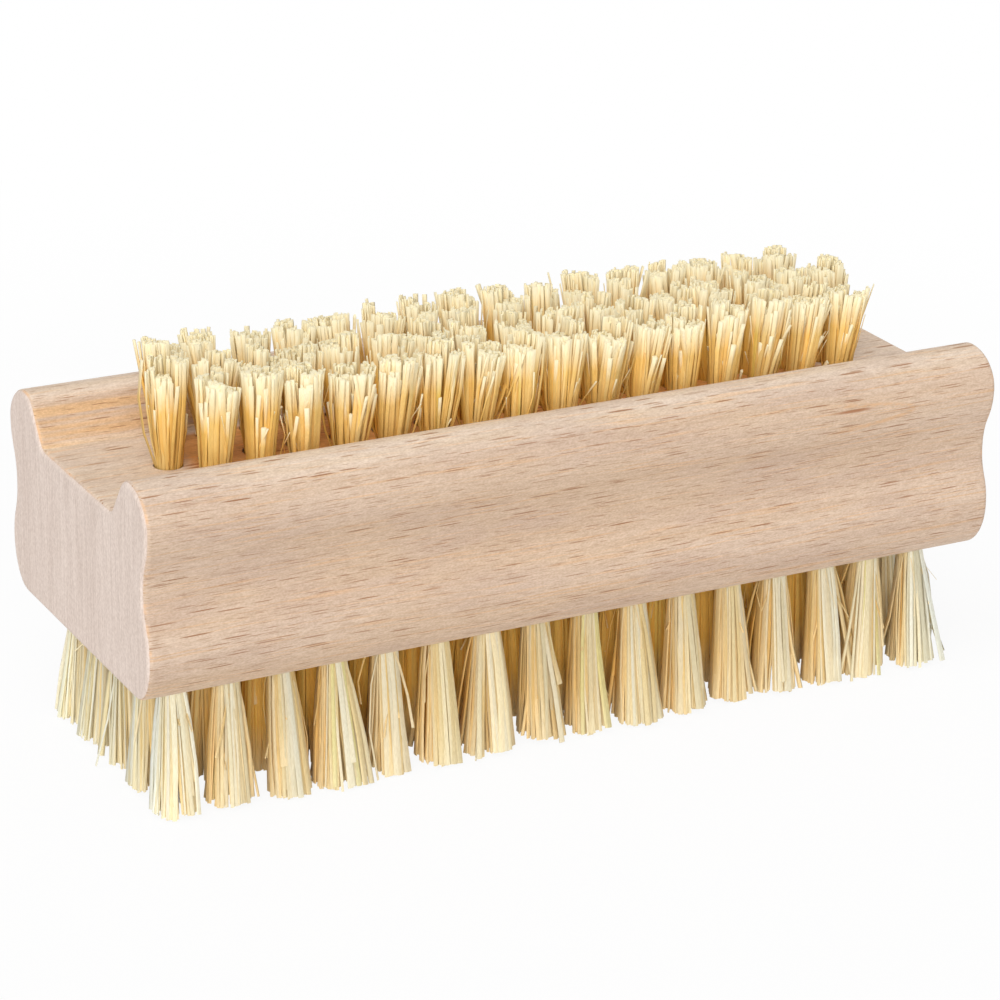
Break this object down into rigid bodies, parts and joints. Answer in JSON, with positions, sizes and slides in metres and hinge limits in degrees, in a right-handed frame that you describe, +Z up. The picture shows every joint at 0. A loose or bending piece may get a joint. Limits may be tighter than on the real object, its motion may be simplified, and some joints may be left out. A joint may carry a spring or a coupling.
{
  "type": "nail brush",
  "caption": "Double-sided wooden nail brush: a waisted block with a channel of short bristles on top and a field of longer bristles below.",
  "frame": {"origin": "on the plane of the lower bristle tips, under the middle of the block", "axes": "+X along the brush, +Y across it away from the front side, +Z up from the lower bristles to the channel side"},
  "size_m": [0.095, 0.036, 0.0418],
  "materials": {
    "beech": "sanded, untreated",
    "bristle_fibre": "natural fibre",
    "anchor_wire": "drawn wire"
  },
  "bodies": {
    "root": {"block": "beech", "upper_tufts_row_1": "bristle_fibre", "upper_tufts_row_2": "bristle_fibre", "upper_tufts_row_3": "bristle_fibre", "lower_tufts_row_1": "bristle_fibre", "lower_tufts_row_2": "bristle_fibre", "lower_tufts_row_3": "bristle_fibre", "lower_tufts_row_4": "bristle_fibre", "lower_tufts_row_5": "bristle_fibre", "upper_anchors_row_1": "anchor_wire", "upper_anchors_row_2": "anchor_wire", "upper_anchors_row_3": "anchor_wire", "lower_anchors_row_1": "anchor_wire", "lower_anchors_row_2": "anchor_wire", "lower_anchors_row_3": "anchor_wire", "lower_anchors_row_4": "anchor_wire", "lower_anchors_row_5": "anchor_wire"}
  },
  "joints": []
}
